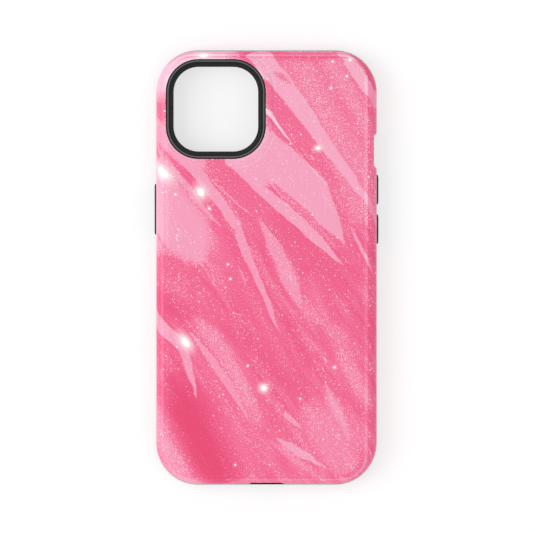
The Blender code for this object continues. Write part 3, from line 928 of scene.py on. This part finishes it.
def marbling(graph, flowing, stretched):
    """The lightness of the ground and of all the streaks over it."""
    streaky = graph.noise(stretched, 0.36, detail=4.0, roughness=0.6)
    darkest, lightest = GROUND_LIGHTNESS - GROUND_CHANGE, GROUND_LIGHTNESS + GROUND_CHANGE
    lightness = graph.range(streaky, 0.3, 0.7, darkest, lightest)
    streak = stroke_group()
    for start, end, widths, bend, points, softness, value, strength in STREAKS:
        run = Vector(end) - Vector(start)
        turn = math.degrees(math.atan2(run.y, run.x))
        so_far = graph.with_height(flowing, lightness)
        inputs = {
            "Place": graph.place(so_far, (*start, 0.0), turn, (run.length, 1.0, 1.0)),
            "Half width": widths[0],
            "Widening": widths[1] - widths[0],
            "Bend": 4 * bend,
            "Start": 1 / points[0],
            "End": 1 / points[1],
            "Edge": 0.5 / softness,
            "Value": value,
            "Strength": strength,
        }
        lightness = graph.group(streak, inputs)
    return lightness


def glitter_amount(graph, stretched, lightness, calm):
    """How much glitter there is: most in the glittery bands, some on the palest parts and in patches."""
    off_band = graph.math("ABSOLUTE", graph.math("SUBTRACT", lightness, GLITTER_LIGHTNESS))
    band = graph.range(off_band, 0.17, 0.05)
    frost = graph.range(lightness, 1.02, 1.2, 0.0, 0.5)
    dusty = graph.math("MAXIMUM", band, frost)
    patch = graph.range(graph.noise(stretched, 0.2, detail=2.0), 0.42, 0.66, smooth_step=True)
    glitter = graph.math("MULTIPLY_ADD", dusty, 0.6, graph.math("MULTIPLY", patch, 0.5))
    return graph.math("MULTIPLY", glitter, graph.range(calm, 0.0, 1.0, 1.0, 0.45))


def add_grain(graph, place, lightness, glitter, calm):
    """The lightness with a fine grain, which is deepest in the ground and where there is glitter."""
    grain = graph.math("SUBTRACT", graph.noise(place, 2.7, detail=2.0, roughness=0.6), 0.5)
    off_ground = graph.math("ABSOLUTE", graph.math("SUBTRACT", lightness, 0.38))
    sandy = graph.range(off_ground, 0.42, 0.28, 0.6, 1.9)
    sandy = graph.math("MULTIPLY", sandy, graph.range(calm, 0.0, 1.0, 1.0, 0.78))
    depth = graph.math("MULTIPLY_ADD", glitter, 0.7, sandy)
    return graph.math("MULTIPLY_ADD", grain, depth, lightness)


def palette_colour(graph, lightness):
    full = PALETTE[-1][0]
    ramp = graph.node("ValToRGB", {"Fac": graph.math("DIVIDE", lightness, full)})
    stops = ramp.color_ramp.elements
    for value, _ in PALETTE[1:-1]:
        stops.new(value / full)
    for stop, (_, colour) in zip(stops, PALETTE):
        stop.color = to_linear(colour)
    return ramp.outputs["Color"]


def flakes_and_glints(graph, place, lightness, glitter):
    """Share of white: flakes of all sizes, with few in the darkest parts, and the glints over them."""
    white = 0.0
    for per_mm, fewest, more, radius, bright in FLAKES:
        share = graph.math("MULTIPLY_ADD", glitter, more, fewest)
        white = graph.math("MAXIMUM", white, sparkle(graph, place, per_mm, share, radius, bright))
    white = graph.math("MULTIPLY", white, graph.range(lightness, -0.05, 0.3, 0.1, 1.0))
    glint = glint_group()
    for spot, half_length, half_width, turn, glow in GLINTS:
        so_far = graph.with_height(place, white)
        seen = graph.place(so_far, (*spot, 0.0), turn, (half_length, half_width, 1.0))
        white = graph.group(glint, {"Place": seen, "Glow": glow})
    return graph.math("MINIMUM", white, 1.0)


def print_material():
    """Pink marbling with silver glitter under a clear gloss."""
    material = bpy.data.materials.new("pink_marble_print")
    material.use_nodes = True
    graph = Graph(material.node_tree)
    shader = material.node_tree.nodes["Principled BSDF"]
    place = print_place(graph)
    flowing, stretched = flow_places(graph, place)
    calm = calm_part(graph, place)

    lightness = marbling(graph, flowing, stretched)
    glitter = glitter_amount(graph, stretched, lightness, calm)
    lightness = add_grain(graph, place, lightness, glitter, calm)
    # Painted highlights and shade along the back's rounded edge
    lightness = graph.math("ADD", lightness, painted_edge_light(graph, place))
    # Painted highlights round the camera window
    lightness = graph.math("ADD", lightness, painted_window_light(graph, place))

    mix = graph.node("Mix", data_type="RGBA")
    graph.feed(mix.inputs["Factor"], flakes_and_glints(graph, place, lightness, glitter))
    graph.feed(mix.inputs[6], palette_colour(graph, lightness))
    graph.feed(mix.inputs[7], (1.0, 0.99, 0.98, 1.0))
    graph.feed(shader.inputs["Base Color"], mix.outputs[2])
    shader.inputs["Roughness"].default_value = 0.3
    shader.inputs["Specular IOR Level"].default_value = 0.25
    shader.inputs["Coat Weight"].default_value = 0.2
    shader.inputs["Coat Roughness"].default_value = 0.08
    return material


def moulded_material(name, colour, mottle, roughness, grain_size, grain_depth, specular=0.5):
    """Moulded plastic or rubber: a fine grain in its surface and gloss, and slightly mottled in colour."""
    material = bpy.data.materials.new(name)
    material.use_nodes = True
    graph = Graph(material.node_tree)
    shader = material.node_tree.nodes["Principled BSDF"]
    spot = graph.scaled(graph.node("TexCoord").outputs["Object"], 1 / MM)
    grain = graph.noise(spot, 1 / grain_size, detail=2.0)
    cloud = graph.noise(spot, 0.12, detail=3.0)
    ramp = graph.node("ValToRGB", {"Fac": cloud})
    ramp.color_ramp.elements[0].position = 0.35
    ramp.color_ramp.elements[0].color = (*colour, 1.0)
    ramp.color_ramp.elements[1].position = 0.65
    ramp.color_ramp.elements[1].color = (*[part * mottle for part in colour], 1.0)
    graph.feed(shader.inputs["Base Color"], ramp.outputs["Color"])
    gloss = graph.range(grain, 0.3, 0.7, roughness - 0.05, roughness + 0.05)
    graph.feed(shader.inputs["Roughness"], gloss)
    shader.inputs["Specular IOR Level"].default_value = specular
    bump = graph.node("Bump", {"Height": grain, "Distance": grain_depth * MM, "Strength": 1.0})
    graph.feed(shader.inputs["Normal"], bump.outputs["Normal"])
    return material


def paint_crest_highlight(material):
    """Paints a highlight: a thin paler line over the last few hundredths of a millimetre of the collar's top.
    """
    graph = Graph(material.node_tree)
    base = material.node_tree.nodes["Principled BSDF"].inputs["Base Color"]
    _, _, z = graph.split(graph.node("TexCoord").outputs["Object"])
    crest = (FRONT + COLLAR_RISE) * MM
    mix = graph.node("Mix", data_type="RGBA")
    graph.feed(mix.inputs["Factor"], graph.range(z, crest - 0.05 * MM, crest - 0.01 * MM))
    graph.feed(mix.inputs[6], base.links[0].from_socket)
    # The colour of the painted highlight line
    graph.feed(mix.inputs[7], (0.12, 0.12, 0.124, 1.0))
    graph.feed(base, mix.outputs[2])


# The floor, in metres: radius and height of its rings, with its middle a hair below the case, and the light
# that it gives off
FLOOR_RINGS = ((0.4, -0.0001), (6.0, -0.0001), (7.0, 0.3), (7.6, 1.2), (7.8, 4.0))
FLOOR_SIDES = 64
FLOOR_GLOW = 0.64


def make_stage():
    """A wide pale floor that turns up into a bowl far away.

    It glows a little, except in the shade under the case. Below the camera opening it does glow.
    """
    material = moulded_material("pale_floor", (0.38, 0.38, 0.38), 0.985, 0.9, 3.0, 0.01, 0.1)
    shader = material.node_tree.nodes["Principled BSDF"]
    shader.inputs["Emission Color"].default_value = (1.0, 1.0, 1.0, 1.0)
    graph = Graph(material.node_tree)
    place = graph.scaled(graph.node("TexCoord").outputs["Object"], 1 / MM)
    past = outside_nodes(graph, place, PHONE_HALF_X, PHONE_HALF_Y, PHONE_CORNER)
    seen = graph.vector("SUBTRACT", place, (*CAMERA, 0.0))
    throat = outside_nodes(graph, seen, COLLAR_HALF, COLLAR_HALF, COLLAR_CORNER)
    bare = graph.math("MAXIMUM", graph.range(past, -1.0, 0.5), graph.range(throat, 0.0, -1.0))
    graph.feed(shader.inputs["Emission Strength"], graph.math("MULTIPLY", bare, FLOOR_GLOW))
    mesh = bmesh.new()
    angles = [side * math.tau / FLOOR_SIDES for side in range(FLOOR_SIDES)]
    ways = [(math.cos(angle), math.sin(angle)) for angle in angles]
    loft(mesh, [[Vector((radius * x, radius * y, z)) for x, y in ways] for radius, z in FLOOR_RINGS])
    mesh.verts.ensure_lookup_table()
    mesh.faces.new([mesh.verts[side] for side in range(FLOOR_SIDES)])
    floor = finish_mesh(mesh, "floor", [material])
    floor.data.shade_smooth()


def area_light(name, place, size, power):
    """A soft square lamp that faces the case."""
    data = bpy.data.lights.new(name, "AREA")
    data.shape = "SQUARE"
    data.size = size
    data.energy = power
    light = bpy.data.objects.new(name, data)
    light.location = place
    light.rotation_euler = (-Vector(place)).to_track_quat("-Z", "Y").to_euler()
    light.visible_camera = False
    bpy.context.scene.collection.objects.link(light)


def make_lights():
    world = bpy.data.worlds.new("studio")
    world.use_nodes = True
    background = world.node_tree.nodes["Background"]
    background.inputs["Color"].default_value = (1.0, 1.0, 1.0, 1.0)
    background.inputs["Strength"].default_value = 0.62
    bpy.context.scene.world = world
    area_light("key", (-0.9, 0.05, 1.1), 0.9, 8.4)
    area_light("fill", (0.6, -0.7, 1.3), 1.2, 2.5)


def make_camera():
    """Looks straight down at the back of the case with a long lens; view_width is what it takes in there."""
    data = bpy.data.cameras.new("camera")
    data.lens = 600.0
    data.sensor_width = 36.0
    data.clip_end = 20.0
    camera = bpy.data.objects.new("camera", data)
    view_width = 0.18838
    camera.location = (0.0, 0.00035, FRONT * MM + view_width * data.lens / data.sensor_width)
    bpy.context.scene.collection.objects.link(camera)
    bpy.context.scene.camera = camera
    bpy.context.scene.view_settings.view_transform = "Standard"


printed = print_material()
inside = moulded_material("shell_inside", (0.80, 0.78, 0.78), 0.96, 0.32, 0.5, 0.002)
soft = moulded_material("soft_black", (0.004, 0.004, 0.0043), 1.6, 0.45, 0.12, 0.004, 0.1)
# A painted highlight line along the top of the collar
paint_crest_highlight(soft)
pocket = moulded_material("pocket_black", (0.008, 0.008, 0.009), 1.6, 0.7, 0.3, 0.03, 0.2)
caps = moulded_material("cap_black", (0.010, 0.010, 0.011), 1.5, 0.36, 0.15, 0.003, 0.35)

make_shell(printed, inside)
make_liner(soft, pocket)
for name, button in BUTTONS.items():
    make_cap(name, button, caps)
make_stage()
make_lights()
make_camera()
